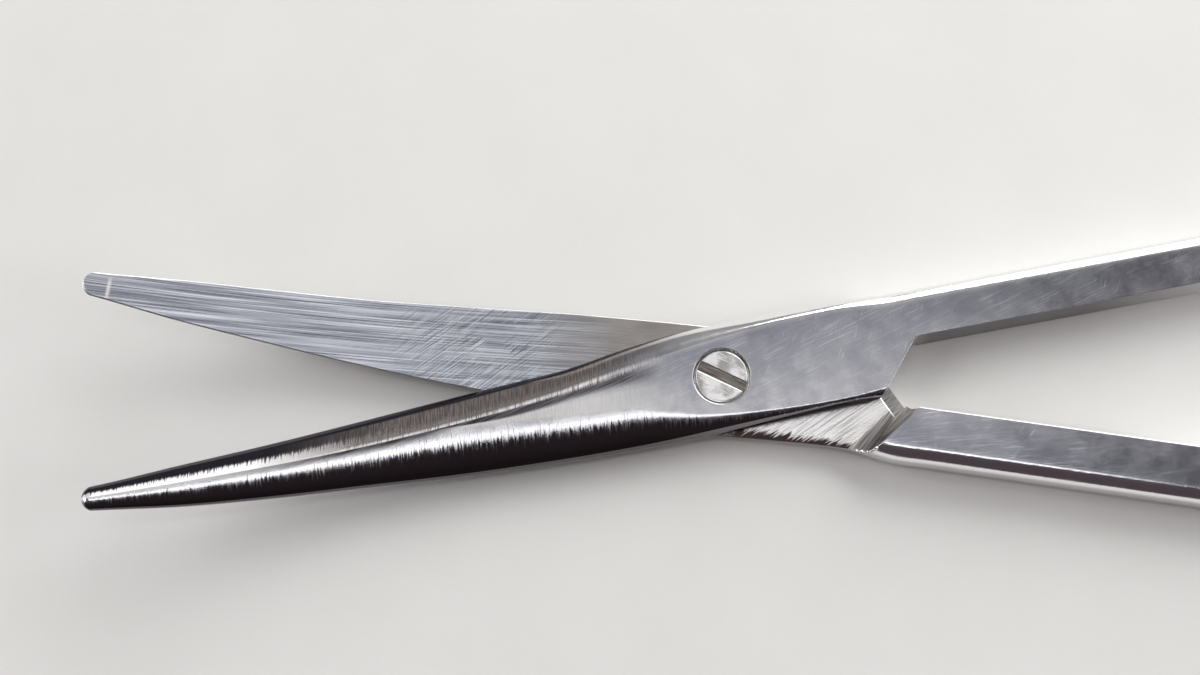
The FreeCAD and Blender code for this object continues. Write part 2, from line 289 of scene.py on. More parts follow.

# %% [markdown]
# The outer faces are forged, ground and polished by hand, and every zone was held to another wheel.
# The joint and the shanks have flat satin faces, cloudy from wiping and finely scratched.
# The blade's upper slope is ground across its length and its back is polished to a mirror.
# Light is also painted into the colours: white painted highlights on the crown, the ridge and the rounded
# side, and dark painted reflections of the near side on the back, below the ridge and on the wall above the
# cutting edge.
# The mesh carries the zones: u of its UV map runs round the section, from the cutting edge over the crown
# to the back, so one material can draw them all. Where two wheels met, the border is ragged.

# %% Limits of the zones on the outer faces
WALL_END, GRIND_END, CROWN_END = 4 / 96, 18 / 96, 28 / 96  # u at the borders of the zones
POLISHED_FROM = CROWN_END + 0.05
TIP_SPLIT = 0.118  # u at which dark and bright meet on the slope near the tip
RAGGED = 0.16  # of u, over which ragged borders wander
BLADE = (-3.0, -12.0)  # in mm along the half: a mask is 0 at the first and 1 at the second
ROUND_SIDE = (-9.0, -1.0)
JOINT = (-8.0, 3.0)
LOW_WALL, HIGH_WALL = (1.0, -6.0), (-30.0, -42.0)
BAND_START, BAND_STOP = (-48.0, -36.0), (-5.0, -9.0)
BAND_NARROWS = (-28.0, -14.0)  # between these places the dark band below the ridge gets narrower
BRIGHT_TIP = (-34.0, -44.0)
MIRROR_LESS, CROWN_LESS, SIDE_LESS = -0.14, -0.10, -0.07  # changes of roughness against the satin
RIDGE_MORE = 0.26
print("zones on the outer faces end at u", round(WALL_END, 3), round(GRIND_END, 3), round(CROWN_END, 3))

# %% Parts of the outer faces' look


def around_section(tree):
    """u of the UV map, folded so that it runs from the cutting edge on both sides of a section."""
    uv = add_node(tree, "UVMap", uv_map="UVMap").outputs["UV"]
    round_section = add_node(tree, "SeparateXYZ", links={"Vector": uv}).outputs["X"]
    from_middle = add_node(tree, "Math", {1: 0.5}, {0: round_section}, operation="SUBTRACT").outputs["Value"]
    folded = add_node(tree, "Math", links={0: from_middle}, operation="ABSOLUTE").outputs["Value"]
    return add_node(tree, "Math", {0: 0.5}, {1: folded}, operation="SUBTRACT").outputs["Value"]


def satin(tree, place, u, wiping):
    """Colour of the flat faces of joint and shanks, and the clouds on them."""
    noise = add_node(tree, "TexNoise", {"Scale": 0.42, "Detail": 5.0, "Roughness": 0.6}, {"Vector": place})
    scratches = brush(tree, place, 63, 2.0, 0.06, 2.0)
    cloudy = where(tree, (noise.outputs["Fac"], 0.34, 0.68))
    colour = paint(tree, paint(tree, "#9799a3", "#abadb5", cloudy), paint(tree, "#babbc2", "#d0d1d5", cloudy),
                   (u, GRIND_END + 0.01, CROWN_END - 0.01))
    colour = paint(tree, colour, "#d6d7db", (wiping, 0.54, 0.74), cloudy)
    return paint(tree, colour, "#e4e4e8", (scratches, 0.68, 0.76)), cloudy


def painted_dark_band(tree, along, u):
    """A painted reflection: where the crown's near edge mirrors the dark near side, a dark band that narrows
    towards the joint.
    """
    end = add_node(tree, "MapRange", {"From Min": BAND_NARROWS[0], "From Max": BAND_NARROWS[1],
                                      "To Min": CROWN_END + 0.026, "To Max": GRIND_END + 0.045},
                   {"Value": along})
    inside = add_node(tree, "Math", links={0: end.outputs["Result"], 1: u}, operation="SUBTRACT")
    return where(tree, (u, GRIND_END, GRIND_END + 0.006), (inside.outputs["Value"], 0.0, 0.02),
                 (along, *BAND_START), (along, *BAND_STOP))


def ridge_and_tip_highlight(tree, along, u, rough_u, blade, across_lines):
    """The ridge, scratched and painted with a highlight, and near the tip a painted highlight on the slope
    below it.
    """
    ridge = where(tree, (u, GRIND_END - 0.022, GRIND_END - 0.006), (u, GRIND_END + 0.014, GRIND_END + 0.002),
                  blade, (across_lines, 0.36, 0.54))
    near_tip = where(tree, (along, *BRIGHT_TIP), (rough_u, TIP_SPLIT, TIP_SPLIT + 0.02),
                     (u, GRIND_END + 0.02, GRIND_END - 0.01))
    return add_node(tree, "Math", links={0: ridge, 1: near_tip}, operation="MAXIMUM").outputs["Value"]


def wall_dark_reflection(tree, along, u):
    """The wall above the cutting edge, painted dark blue-grey as a painted reflection of the dark near side.
    Its dark colour climbs up the slope near the tip.
    """
    low = where(tree, (u, WALL_END + 0.030, WALL_END + 0.018), (along, *LOW_WALL))
    high = where(tree, (u, TIP_SPLIT + 0.01, TIP_SPLIT - 0.01), (along, *HIGH_WALL))
    return add_node(tree, "Math", links={0: low, 1: high}, operation="MAXIMUM").outputs["Value"]


def outer_roughness(tree, cloudy, smooth, crown, highlit_round_side, ridge):
    """The satin's roughness, with less where a wheel polished and more on the ridge."""
    less = add_node(tree, "Math", {1: MIRROR_LESS}, {0: smooth}, operation="MULTIPLY").outputs["Value"]
    for area, change in ((crown, CROWN_LESS), (highlit_round_side, SIDE_LESS)):
        there = add_node(tree, "Math", {1: change}, {0: area}, operation="MULTIPLY").outputs["Value"]
        less = add_node(tree, "Math", links={0: less, 1: there}, operation="MINIMUM").outputs["Value"]
    matt = add_node(tree, "MapRange", {"To Min": 0.20, "To Max": 0.26}, {"Value": cloudy}).outputs["Result"]
    smoothed = add_node(tree, "Math", links={0: matt, 1: less}, operation="ADD").outputs["Value"]
    rougher = add_node(tree, "Math", {1: RIDGE_MORE}, {0: ridge, 2: smoothed}, operation="MULTIPLY_ADD")
    return rougher.outputs["Value"]


print("parts of the outer look: satin, dark band, bright ridge, dark wall")

# %% Outer faces


def outer_steel(name, turn):
    material, tree, shader = new_material(name)
    place = along_half(tree, turn)
    along = add_node(tree, "SeparateXYZ", links={"Vector": place}).outputs["X"]
    u = around_section(tree)
    across_lines = brush(tree, place, 84, 1.6, 0.11, 3.0)
    wiping = brush(tree, place, 14, 4.0, 0.14, 3.0)
    ragged = add_node(tree, "Math", {1: RAGGED, 2: -RAGGED / 2}, {0: across_lines}, operation="MULTIPLY_ADD")
    ragged_u = add_node(tree, "Math", links={0: u, 1: ragged.outputs["Value"]}, operation="ADD")
    rough_u = ragged_u.outputs["Value"]
    blade = where(tree, (along, *BLADE))

    flat, cloudy = satin(tree, place, u, wiping)
    highlit_round_side = where(tree, (u, GRIND_END + 0.004, GRIND_END - 0.02), (along, *ROUND_SIDE))
    # the rounded side of joint and shanks, painted near white as a painted highlight of the window
    flat = paint(tree, flat, "#fafafb", highlit_round_side)
    ground = paint(tree, "#847976", "#c4bab5", (across_lines, 0.36, 0.66))
    ground = paint(tree, ground, "#d2cdca", (u, GRIND_END - 0.06, GRIND_END))
    colour = paint(tree, flat, ground, blade, (rough_u, GRIND_END + 0.018, GRIND_END - 0.014))
    # the blade's polished crown, painted near white as a painted highlight
    crown = where(tree, blade, (u, GRIND_END + 0.03, GRIND_END + 0.06), (u, CROWN_END + 0.02, CROWN_END))
    colour = paint(tree, colour, paint(tree, "#e2e1df", "#fdfdfc", across_lines), crown)
    # painted dark reflection of the near side, below the ridge
    band = paint(tree, "#3d3b40", "#858386", (wiping, 0.40, 0.66))
    colour = paint(tree, colour, band, painted_dark_band(tree, along, u))
    ridge = ridge_and_tip_highlight(tree, along, u, rough_u, blade, across_lines)
    # painted highlight along the scratched ridge and on the slope near the tip
    colour = paint(tree, colour, "#fbfafa", ridge)
    polish = where(tree, (rough_u, POLISHED_FROM - 0.012, POLISHED_FROM + 0.012))
    # the polished back painted dark as a painted reflection of the near side, darker lower down and at the
    # joint
    back_dark_reflection = paint(tree, "#827e80", "#625e60", (u, CROWN_END + 0.085, CROWN_END + 0.125))
    colour = paint(tree, colour, paint(tree, back_dark_reflection, "#7d797b", (along, *JOINT)), polish)
    wall = wall_dark_reflection(tree, along, u)
    # painted dark reflection on the wall above the cutting edge
    colour = paint(tree, colour, "#4f4d56", wall)

    smooth = add_node(tree, "Math", links={0: polish, 1: wall}, operation="MAXIMUM").outputs["Value"]
    roughness = outer_roughness(tree, cloudy, smooth, crown, highlit_round_side, ridge)
    rest = add_node(tree, "Math", {0: 1.0}, {1: smooth}, operation="SUBTRACT").outputs["Value"]
    relief = where(tree, rest, paint(tree, wiping, across_lines, blade))
    finish(tree, shader, colour, roughness, relief)
    return material


print("outer faces: ground_and_polished_steel")

# %% [markdown]
# The inner faces are ground so that the two blades can slide on each other.
# Lengthwise lines fan out towards the tip, a patch of crossed scratches lies before the joint,
# and the lap behind the pivot shows coarse marks at a slant, left by the wheel that fitted it.

# %% Inner faces
SPINE_EDGE = 0.24 * MM  # the inner faces' worn edges, painted bright as a highlight, are wider
NICK, NICK_WIDTH = -57.5, 0.25  # a bright nick across the blade, in mm along the half
NICK_ENDS = (1.3, 0.6)  # in mm to each side of the half's axis
PATCH_START, PATCH_STOP = (-33.0, -27.0), (-14.0, -19.0)  # crossed scratches, in mm along the half
DULL_START, DULL_STOP = (-18.0, -10.0), (4.0, 0.0)
LAP = (-1.0, 2.0)
RIM = (5.75, 5.95)  # in mm outwards, with the slant lines' own raggedness
RIM_RAGGED = 3.0


def inner_steel(name, turn, side):
    material, tree, shader = new_material(name)
    place = along_half(tree, turn)
    parts = add_node(tree, "SeparateXYZ", links={"Vector": place})
    along, across = parts.outputs["X"], parts.outputs["Y"]
    long_lines = brush(tree, place, 4 * side, 14.0, 0.13, 4.0)
    broad_lines = brush(tree, place, 6 * side, 22.0, 0.7, 3.0)
    slant_lines = brush(tree, place, 42 * side, 4.0, 0.16, 3.0)
    other_slant = brush(tree, place, 44 * side, 3.0, 0.11, 2.0)
    clouds = add_node(tree, "TexNoise", {"Scale": 0.3, "Detail": 3.0}, {"Vector": place}).outputs["Fac"]

    colour = paint(tree, "#878b97", "#c3c8d2", (broad_lines, 0.36, 0.66))
    colour = paint(tree, colour, "#eef1f6", (long_lines, 0.50, 0.66))
    colour = paint(tree, colour, "#70747f", (long_lines, 0.42, 0.30))
    crossed = where(tree, (along, *PATCH_START), (along, *PATCH_STOP), (clouds, 0.38, 0.50))
    colour = paint(tree, colour, "#dcdfe5", crossed, (other_slant, 0.53, 0.60))
    colour = paint(tree, colour, "#7d818b", crossed, (other_slant, 0.44, 0.38))
    dull = paint(tree, "#8b8784", "#b5b0ac", clouds)
    colour = paint(tree, colour, dull, (along, *DULL_START), (along, *DULL_STOP))
    off_axis = add_node(tree, "Math", links={0: across}, operation="ABSOLUTE").outputs["Value"]
    nick = where(tree, (along, NICK - NICK_WIDTH, NICK), (along, NICK + NICK_WIDTH, NICK),
                 (off_axis, *NICK_ENDS))
    colour = paint(tree, colour, "#ffffff", nick)

    fitted = paint(tree, "#c9c6c4", "#ffffff", (slant_lines, 0.36, 0.56))
    outwards = add_node(tree, "Math", {1: -side}, {0: across}, operation="MULTIPLY").outputs["Value"]
    ragged = add_node(tree, "Math", {1: RIM_RAGGED}, {0: slant_lines, 2: outwards}, operation="MULTIPLY_ADD")
    fitted = paint(tree, fitted, "#3d3231", (ragged.outputs["Value"], *RIM))
    lap = where(tree, (along, *LAP))
    colour = paint(tree, colour, fitted, lap)
    roughness = add_node(tree, "MapRange", {"To Min": 0.20, "To Max": 0.38}, {"Value": long_lines})
    relief = paint(tree, long_lines, slant_lines, lap)
    finish(tree, shader, colour, roughness.outputs["Result"], relief, SPINE_EDGE)
    return material


print("inner faces: fitted_inner_steel, with a nick", -NICK, "mm from the pivot")

# %% [markdown]
# The round groove at the shoulder is milled and then brushed at a slant across its length.
# The notch walls and bores are only milled and show fine ribs, and the shanks' inner sides
# are polished smooth. The screw head is turned, sunk and polished with the joint, with painted highlights on
# it, and its slot's rough sawn floor is painted darker as painted shade in the recess.

# %% Groove, milled walls and screw
SHANK_START, SHANK_END = 19.5, 46.5  # straight part of the shanks, in mm from the pivot
RIBS_FADE, SIDE_BRIGHTENS = 3.0, 12.0  # lengths over which ribs stop, and the shank's side brightens
HEAD_TOP = 3.92  # mm above the table
SLOT_ANGLE = -28.0  # degrees
SLOT_DEPTHS = (HEAD_TOP - 0.10, HEAD_TOP - 0.45)


def groove_steel(name, turn, side):
    material, tree, shader = new_material(name)
    lines = brush(tree, along_half(tree, turn), 60 * side, 5.0, 0.12, 3.0)
    colour = paint(tree, "#8f8a86", "#ebe8e5", (lines, 0.36, 0.64))
    roughness = add_node(tree, "MapRange", {"To Min": 0.24, "To Max": 0.42}, {"Value": lines})
    finish(tree, shader, colour, roughness.outputs["Result"], lines)
    return material


def milled_steel(name, turn):
    material, tree, shader = new_material(name)
    place = along_half(tree, turn)
    ribs = brush(tree, place, 50, 2.0, 0.10, 2.0)
    milled = paint(tree, "#c9c6c5", "#ffffff", (ribs, 0.35, 0.65))
    along = add_node(tree, "SeparateXYZ", links={"Vector": place}).outputs["X"]
    # the shank's inner side, painted dark near the notch as a painted reflection of the near side,
    # brightening towards the handle into its painted highlight
    smooth = paint(tree, "#7d797b", "#fafafb", (along, SHANK_END - SIDE_BRIGHTENS, SHANK_END))
    shank_side = where(tree, (along, SHANK_START - RIBS_FADE, SHANK_START))
    colour = paint(tree, milled, smooth, shank_side)
    rest = add_node(tree, "Math", {0: 1.0}, {1: shank_side}, operation="SUBTRACT").outputs["Value"]
    ribs = where(tree, rest, ribs)
    roughness = add_node(tree, "MapRange", {"To Min": 0.16, "To Max": 0.34}, {"Value": ribs})
    finish(tree, shader, colour, roughness.outputs["Result"], ribs)
    return material


def screw_steel(name):
    material, tree, shader = new_material(name)
    place = along_half(tree, 0.0)
    height = add_node(tree, "SeparateXYZ", links={"Vector": place}).outputs["Z"]
    lines = brush(tree, place, SLOT_ANGLE, 2.6, 0.09, 3.0)
    clouds = add_node(tree, "TexNoise", {"Scale": 0.55, "Detail": 3.0}, {"Vector": place}).outputs["Fac"]
    # painted white highlights in patches and along the lines of the head
    colour = paint(tree, "#a8a5a2", "#f6f6f6", (clouds, 0.42, 0.58))
    colour = paint(tree, colour, "#ffffff", (lines, 0.56, 0.66))
    # slot floor painted darker: painted shade in the recess
    slot_floor_shade = paint(tree, "#5f5a56", "#a19b95", (lines, 0.4, 0.6))
    colour = paint(tree, colour, slot_floor_shade, (height, *SLOT_DEPTHS))
    roughness = add_node(tree, "MapRange", {"To Min": 0.20, "To Max": 0.40}, {"Value": lines})
    finish(tree, shader, colour, roughness.outputs["Result"], lines)
    return material


print("ways of finishing steel: outer, inner, groove, milled, screw")

# %% [markdown]
# Each half is one forging. It is modelled as it would be drawn: along X with the blade's tip at -x,
# the cutting edge on +y, the outer face on top, and in millimetres, because small shapes are easier so.
# A finished half is turned to its place, or turned over for the lower one,
# and made metres in the last step.
# The sizes are the construction's own, so the dressed half lies where the solid one lies.

# %% Sizes of the halves
THICKNESS = 4.0  # joint and shanks, outer face to outer face
HALF = THICKNESS / 2
MATING = 2.025  # level of the mating surface in an upper half
CURVE_START = 18.0  # distance from the pivot at which the blades start to rise
CURVE_RADIUS = 118.0
JOINT_SIDE = 5.0  # pivot to the side that carries the blade's back
SHOULDER_REACH = 14.28  # pivot to the top corner line of the shoulder
SHOULDER_ANGLE = math.radians(50.2)
NOTCH_ANGLE = math.radians(48.6)
NOTCH_CORNER = 1.0
NOTCH_BEVEL = 1.5
NOTCH_BEVEL_RISE = 1.4
NOTCH_BEVEL_END = 1.0  # shoulder's corner line to the end of the bevel
SHANK_INNER = 0.33  # half's own axis to the shank's flat inner side
SHANK_ROUND = 1.35  # rounding of its outer long edges
JOIN_DEPTH = 0.4  # how far the forging's end reaches into the handle before they are made one
JOIN_SPARE = 0.001  # share by which that end is smaller, so that no two faces lie in each other
TIP_ROUND = 1.25  # radius of the blunt tip seen from above
STEM_BORE = 1.75
HEAD_BORE = 2.63
HEAD_SEAT = 2.79  # level of the counterbore's floor
TAIL_BORE = 1.47
AWAY = 60.0  # beyond everything that a tool cuts to that side


class Half(NamedTuple):
    """What differs between the two hand-finished halves."""

    name: str
    body: str
    rise: int  # 1 where the blade bends towards its outer face, -1 where away from it
    blade_length: float
    shank_set: float  # the shank's own turn against the half's axis
    shank_width: float
    notch_reach: float
    notch_fillet: float


FRONT = Half("front_half", "upper", 1, 58.7, math.radians(-1.4), 4.65, 13.62, 1.3)
BACK = Half("back_half", "lower", -1, 59.7, math.radians(0.9), 4.95, 12.6, 0.5)
print("blades reach", FRONT.blade_length, "and", BACK.blade_length, "mm from the pivot")

# %% [markdown]
# The blade is a loft: a row of cross-sections from the tip to the joint.
# Each has the cutting edge, a steep wall, the ground slope up to the ridge,
# the crown and the rounded back.
# The table gives the few sections that a forger's template would have,
# and a smooth curve fills in the rest.
# The polishing wheel has taken the crown's near side back a little on the blade,
# and that catches the light.

# %% Cross-sections
BLADE_SECTIONS = [
    # place, edge, ridge, fall, back, height, wall width, wall height, bulge
    (1.000, 0.90, -0.25, -0.40, -1.20, 0.42, 0.25, 0.28, 0.25),
    (0.955, 1.15, -0.20, -0.36, -1.50, 0.50, 0.35, 0.40, 0.20),
    (0.855, 1.78, -0.12, -0.34, -2.18, 0.62, 0.42, 0.52, 0.15),
    (0.720, 2.42, 0.02, -0.38, -2.78, 0.75, 0.50, 0.65, 0.12),
    (0.580, 3.08, 0.25, -0.48, -3.30, 0.84, 0.52, 0.75, 0.12),
    (0.445, 3.62, 0.65, -0.80, -3.90, 0.92, 0.50, 0.80, 0.15),
    (0.330, 3.95, 1.15, -1.35, -4.35, 0.97, 0.45, 0.80, 0.22),
    (0.240, 4.14, 1.65, -1.90, -4.65, 0.995, 0.35, 0.70, 0.40),
    (0.140, 4.90, 2.45, -2.50, -4.85, 1.0, 0.20, 0.55, 0.70),
    (0.040, 5.32, 3.12, -3.45, -4.98, 1.0, 0.10, 0.45, 0.90),
    (-0.085, 5.05, 3.75, -4.10, -JOINT_SIDE, 1.0, 0.05, 0.40, 1.0),
    (-0.200, 4.90, 3.75, -4.35, -JOINT_SIDE, 1.0, 0.02, 0.50, 1.0),
]
SPINE_LAND = 0.25  # upright part of the back, as a share of the blade's height
WHEEL_TAKE = 1.3  # how far the polishing wheel has moved the crown's near side
WHEEL_START = 0.14  # place along the blade from which it has
NARROWEST_CROWN = 0.05
SIDE_STRAIGHT = 16.0  # distance from the pivot at which the joint's side runs into the shank's
DOME_DROP = 0.88  # share of the tip's height that its dome has lost at the very end
DOME_POWER = 3.0  # how late it falls
ON_ROW = 0.001  # a place this little before a row counts as on it


def rise_at(distance):
    """Rise of the mating surface, and of the blade on it, at a distance from the pivot."""
    run = max(0.0, distance - CURVE_START)
    return CURVE_RADIUS - math.sqrt(CURVE_RADIUS ** 2 - run ** 2)


def section_table(half):
    """Rows of (x, edge, ridge, fall, back, crown, wall width, wall height, bulge, land, turn)."""
    rows = []
    for place, edge, ridge, fall, back, height, wall_width, wall_height, bulge in BLADE_SECTIONS:
        crown = height * HALF
        taken = WHEEL_TAKE * min(1.0, max(0.0, place / WHEEL_START))
        fall = min(fall + taken, ridge - NARROWEST_CROWN)
        rows.append((-place * half.blade_length, edge, ridge, fall, back, crown, wall_width, wall_height,
                     bulge, SPINE_LAND * crown, 0.0))
    outer = SHANK_INNER + half.shank_width
    for x in (SIDE_STRAIGHT, SHANK_START, SHANK_END):
        rows.append((x, outer, outer - SHANK_ROUND, SHANK_ROUND - JOINT_SIDE, -JOINT_SIDE, HALF, 0.0,
                     HALF - SHANK_ROUND, 1.0, HALF - SHANK_ROUND, half.shank_set))
    return rows


def smooth_row(rows, x):
    """The table's row at x, on a smooth curve through its rows."""
    k = max(i for i, row in enumerate(rows[:-1]) if row[0] <= x + ON_ROW)
    a, b = rows[k], rows[k + 1]
    before, after = rows[max(k - 1, 0)], rows[min(k + 2, len(rows) - 1)]
    width = b[0] - a[0]
    t = (x - a[0]) / width
    found = [x]
    for c in range(1, len(a)):
        slope_a = (b[c] - before[c]) / (b[0] - before[0])
        slope_b = (after[c] - a[c]) / (after[0] - a[0])
        found.append(a[c] * (1 + 2 * t) * (1 - t) ** 2 + b[c] * t * t * (3 - 2 * t)
                     + width * slope_a * t * (1 - t) ** 2 - width * slope_b * t * t * (1 - t))
    return found


def nosed(row, half):
    """The row with the blade's blunt tip drawn in: round seen from above, and domed."""
    second = BLADE_SECTIONS[1]
    beyond = TIP_ROUND - half.blade_length - row[0]
    if beyond <= 0:
        return row
    x, edge, ridge, fall, back, crown, wall_width, wall_height, bulge, land, turn = row
    centre = (second[1] + second[4]) / 2
    reach = TIP_ROUND * math.sqrt(1 - (beyond / TIP_ROUND) ** 2)
    narrowed = [min(max(y, centre - reach), centre + reach) for y in (edge, ridge, fall, back)]
    dome = 1 - DOME_DROP * (beyond / TIP_ROUND) ** DOME_POWER
    share = reach / TIP_ROUND
    return (x, *narrowed, crown * dome, wall_width * share, wall_height * dome, bulge, land * dome, turn)


print("blade's height at the tip:", BLADE_SECTIONS[0][5] * HALF, "mm")

# %% [markdown]
# A section's outline is walked in steps, the same number in each section, so that the steps of all sections
# line up along the tool. The walk goes over the outer face and back below it, and its strips are the zones
# that the outer steel's material tells apart.

# %% Outline of a section
STRIPS = [("wall", 4), ("grind", 14), ("crown", 10), ("fall", 18), ("land", 2)]
AROUND = 2 * sum(count for name, count in STRIPS)


def conic(a, corner, b, t):
    """A place on a quarter of an ellipse from a to b that leaves and arrives along the corner's sides."""
    wa, wc, wb = (1 - t) ** 2, 2 * t * (1 - t) * math.sqrt(0.5), t * t
    return (a * wa + corner * wc + b * wb) / (wa + wc + wb)


def outline_point(row, step):
    """Place across the tool and height above its middle, so many steps round the outline."""
    x, edge, ridge, fall, back, crown, wall_width, wall_height, bulge, land, turn = row
    way = 1
    if step > AROUND // 2:
        step = AROUND - step
        way = -1
    top = Vector((edge - wall_width, wall_height))
    ridge_top = Vector((ridge, crown))
    middle = (top + ridge_top) / 2
    bulged = middle + (Vector((edge - wall_width, crown)) - middle) * bulge
    fall_top = Vector((fall, crown))
    back_top = Vector((back, land))
    stretches = [lambda t: Vector((edge, 0.0)).lerp(top, t),
                 lambda t: conic(top, bulged, ridge_top, t),
                 lambda t: ridge_top.lerp(fall_top, t),
                 lambda t: conic(fall_top, Vector((back, crown)), back_top, t),
                 lambda t: back_top.lerp(Vector((back, 0.0)), t)]
    for (name, count), stretch in zip(STRIPS, stretches):
        if step <= count:
            found = stretch(step / count)
            return found.x, way * found.y
        step -= count


print(AROUND, "steps round each section")

# %% [markdown]
# In Blender the loft is a grid. One side of the grid runs along the tool and the other round its section,
# so rolling the grid up gives the forging in even four-sided faces,
# on which polished steel reflects cleanly. A mesh cut out of a block would work as well,
# but its odd triangles would show as dents in a mirror finish.

# %% Rolling a grid round the sections
ZONES = ["outer", "inner", "groove", "cut"]
NOSE_STEPS = 16
FINE_STEP, STEP = 0.4, 0.8  # between sections near the tip, and beyond
FINE_END = 6.0
SHANK_STEPS = 12  # straight, so few sections will do
SAME_PLACE = 0.0005


def select_only(piece):
    bpy.ops.object.select_all(action="DESELECT")
    piece.select_set(True)
    bpy.context.view_layer.objects.active = piece


def give_zone(piece, zone):
    """A material slot for each zone, and all faces in one of them."""
    piece.data.materials.clear()
    for each in ZONES:
        piece.data.materials.append(None)
    for face in piece.data.polygons:
        face.material_index = ZONES.index(zone)


def name_new(name, zone):
    """The new primitive, with its name and its faces' zone."""
    piece = bpy.context.active_object
    piece.name = name
    give_zone(piece, zone)
    return piece


def start_edit(piece):
    """Edit mode with every vertex of the piece selected."""
    select_only(piece)
    bpy.ops.object.mode_set(mode="EDIT")
    bpy.ops.mesh.select_mode(type="VERT")
    bpy.ops.mesh.select_all(action="SELECT")


def close_edit():
    """Turns all faces outwards and leaves edit mode."""
    bpy.ops.mesh.select_all(action="SELECT")
    bpy.ops.mesh.normals_make_consistent(inside=False)
    bpy.ops.object.mode_set(mode="OBJECT")


def stations(half):
    """Places along the half at which its section is drawn."""
    places = []
    for i in range(1, NOSE_STEPS):
        places.append(TIP_ROUND * (1 - math.cos(math.pi / 2 * i / NOSE_STEPS)) - half.blade_length)
    x = TIP_ROUND - half.blade_length
    while x < SHANK_START - STEP / 2:
        places.append(x)
        x += FINE_STEP if x < FINE_END - half.blade_length else STEP
    for i in range(SHANK_STEPS + 1):
        places.append(SHANK_START + (SHANK_END + JOIN_DEPTH - SHANK_START) * i / SHANK_STEPS)
    return places


def loft(name, rows, half):
    """A grid rolled round the sections, its two ends closed."""
    bpy.ops.object.select_all(action="DESELECT")
    bpy.ops.mesh.primitive_grid_add(x_subdivisions=AROUND, y_subdivisions=len(rows) - 1, size=1)
    piece = name_new(name, "outer")
    for vertex in piece.data.vertices:
        step = round((vertex.co.x + 0.5) * AROUND)
        row = rows[round((vertex.co.y + 0.5) * (len(rows) - 1))]
        y, height = outline_point(row, step)
        level = HALF + half.rise * rise_at(-row[0])
        vertex.co = Matrix.Rotation(row[10], 3, "Z") @ Vector((row[0], y, level + height))
    start_edit(piece)
    bpy.ops.mesh.remove_doubles(threshold=SAME_PLACE)
    bpy.ops.mesh.select_all(action="DESELECT")
    bpy.ops.mesh.select_non_manifold()
    bpy.ops.mesh.fill_holes(sides=0)
    close_edit()
    return piece


print(len(stations(FRONT)), "sections along the front half")

# %% [markdown]
# What the milling machine takes away is modelled as cutting tools: solids that a boolean takes out.
# The same boolean can also unite two solids, which joins the handle on.
# A tool's faces carry their zone, and leave it on the faces that they cut.
# Tools reach well past the part, because a tool that ends exactly on a face leaves slivers there.

# %% Simple tools
BORE_STEPS = 128
CORNER_STEPS = 10


def cut(piece, tool, operation="DIFFERENCE"):
    """Cuts a tool out of a piece, or unites the two, and throws the tool away."""
    select_only(piece)
    modifier = piece.modifiers.new("cut", "BOOLEAN")
    modifier.object = tool
    modifier.operation = operation
    modifier.solver = "EXACT"
    bpy.ops.object.modifier_apply(modifier=modifier.name)
    bpy.data.objects.remove(tool)
    return piece


def apply_place(piece):
    select_only(piece)
    bpy.ops.object.transform_apply(location=True, rotation=True, scale=True)


def block(name, low, high, turn, zone):
    """A cube between two corners, then turned about the pivot."""
    low, high = Vector(low), Vector(high)
    bpy.ops.object.select_all(action="DESELECT")
    bpy.ops.mesh.primitive_cube_add(size=1, location=(low + high) / 2, scale=high - low)
    piece = name_new(name, zone)
    apply_place(piece)
    piece.data.transform(Matrix.Rotation(turn, 4, "Z"))
    return piece


def bore(radius, low, high):
    """A drill about the pivot axis."""
    bpy.ops.object.select_all(action="DESELECT")
    bpy.ops.mesh.primitive_cylinder_add(vertices=BORE_STEPS, radius=radius, depth=high - low,
                                        location=(0, 0, (low + high) / 2))
    piece = name_new("bore", "cut")
    apply_place(piece)
    return piece


def round_corner(piece, corners, i):
    """Rounds one corner of a flat outline to its radius."""
    x, y, radius = corners[i]
    start_edit(piece)
    bpy.ops.mesh.select_all(action="DESELECT")
    bpy.ops.object.mode_set(mode="OBJECT")
    near = min(piece.data.vertices, key=lambda v: (v.co.xy - Vector((x, y))).length)
    near.select = True
    before = Vector(corners[i - 1][:2]) - Vector((x, y))
    after = Vector(corners[(i + 1) % len(corners)][:2]) - Vector((x, y))
    reach = radius / math.tan(before.angle(after) / 2)
    bpy.ops.object.mode_set(mode="EDIT")
    bpy.ops.mesh.bevel(offset=reach, offset_type="OFFSET", segments=CORNER_STEPS, affect="VERTICES",
                       profile=0.5, clamp_overlap=False)
    bpy.ops.object.mode_set(mode="OBJECT")


def prism(name, corners, low, high):
    """A flat outline of (x, y, radius) corners, raised to a block."""
    bpy.ops.object.select_all(action="DESELECT")
    bpy.ops.mesh.primitive_circle_add(vertices=len(corners), radius=1, fill_type="NGON")
    piece = name_new(name, "cut")
    for vertex, corner in zip(piece.data.vertices, corners):
        vertex.co = (corner[0], corner[1], low)
    for i, corner in enumerate(corners):
        if corner[2]:
            round_corner(piece, corners, i)
    start_edit(piece)
    bpy.ops.mesh.extrude_region_move(TRANSFORM_OT_translate={"value": (0, 0, high - low)})
    close_edit()
    give_zone(piece, "cut")
    return piece


print("tools ready: block, bore and prism")

# %% [markdown]
# The mating surface is flat round the pivot and then curls like the brim of a bowl,
# so that the curved blades stay in touch at every opening.
# A profile spun about the pivot gives exactly that shape.
# Behind the shoulder the half keeps its full thickness, and a round groove runs along the shoulder's foot,
# in which the other half's notch edge swings. So the lap tool is the spun body,
# less a block behind the shoulder, and the block has the groove's round side.

# %% Lap and groove
BRIM = 62.0  # radius of the spun surface, past both blades' tips
BRIM_STEPS = 40
SPIN_STEPS = 360
GROOVE_STEPS = 192
GROOVE_SPARE = 0.01  # makes the groove cross the mating surface instead of just touching it


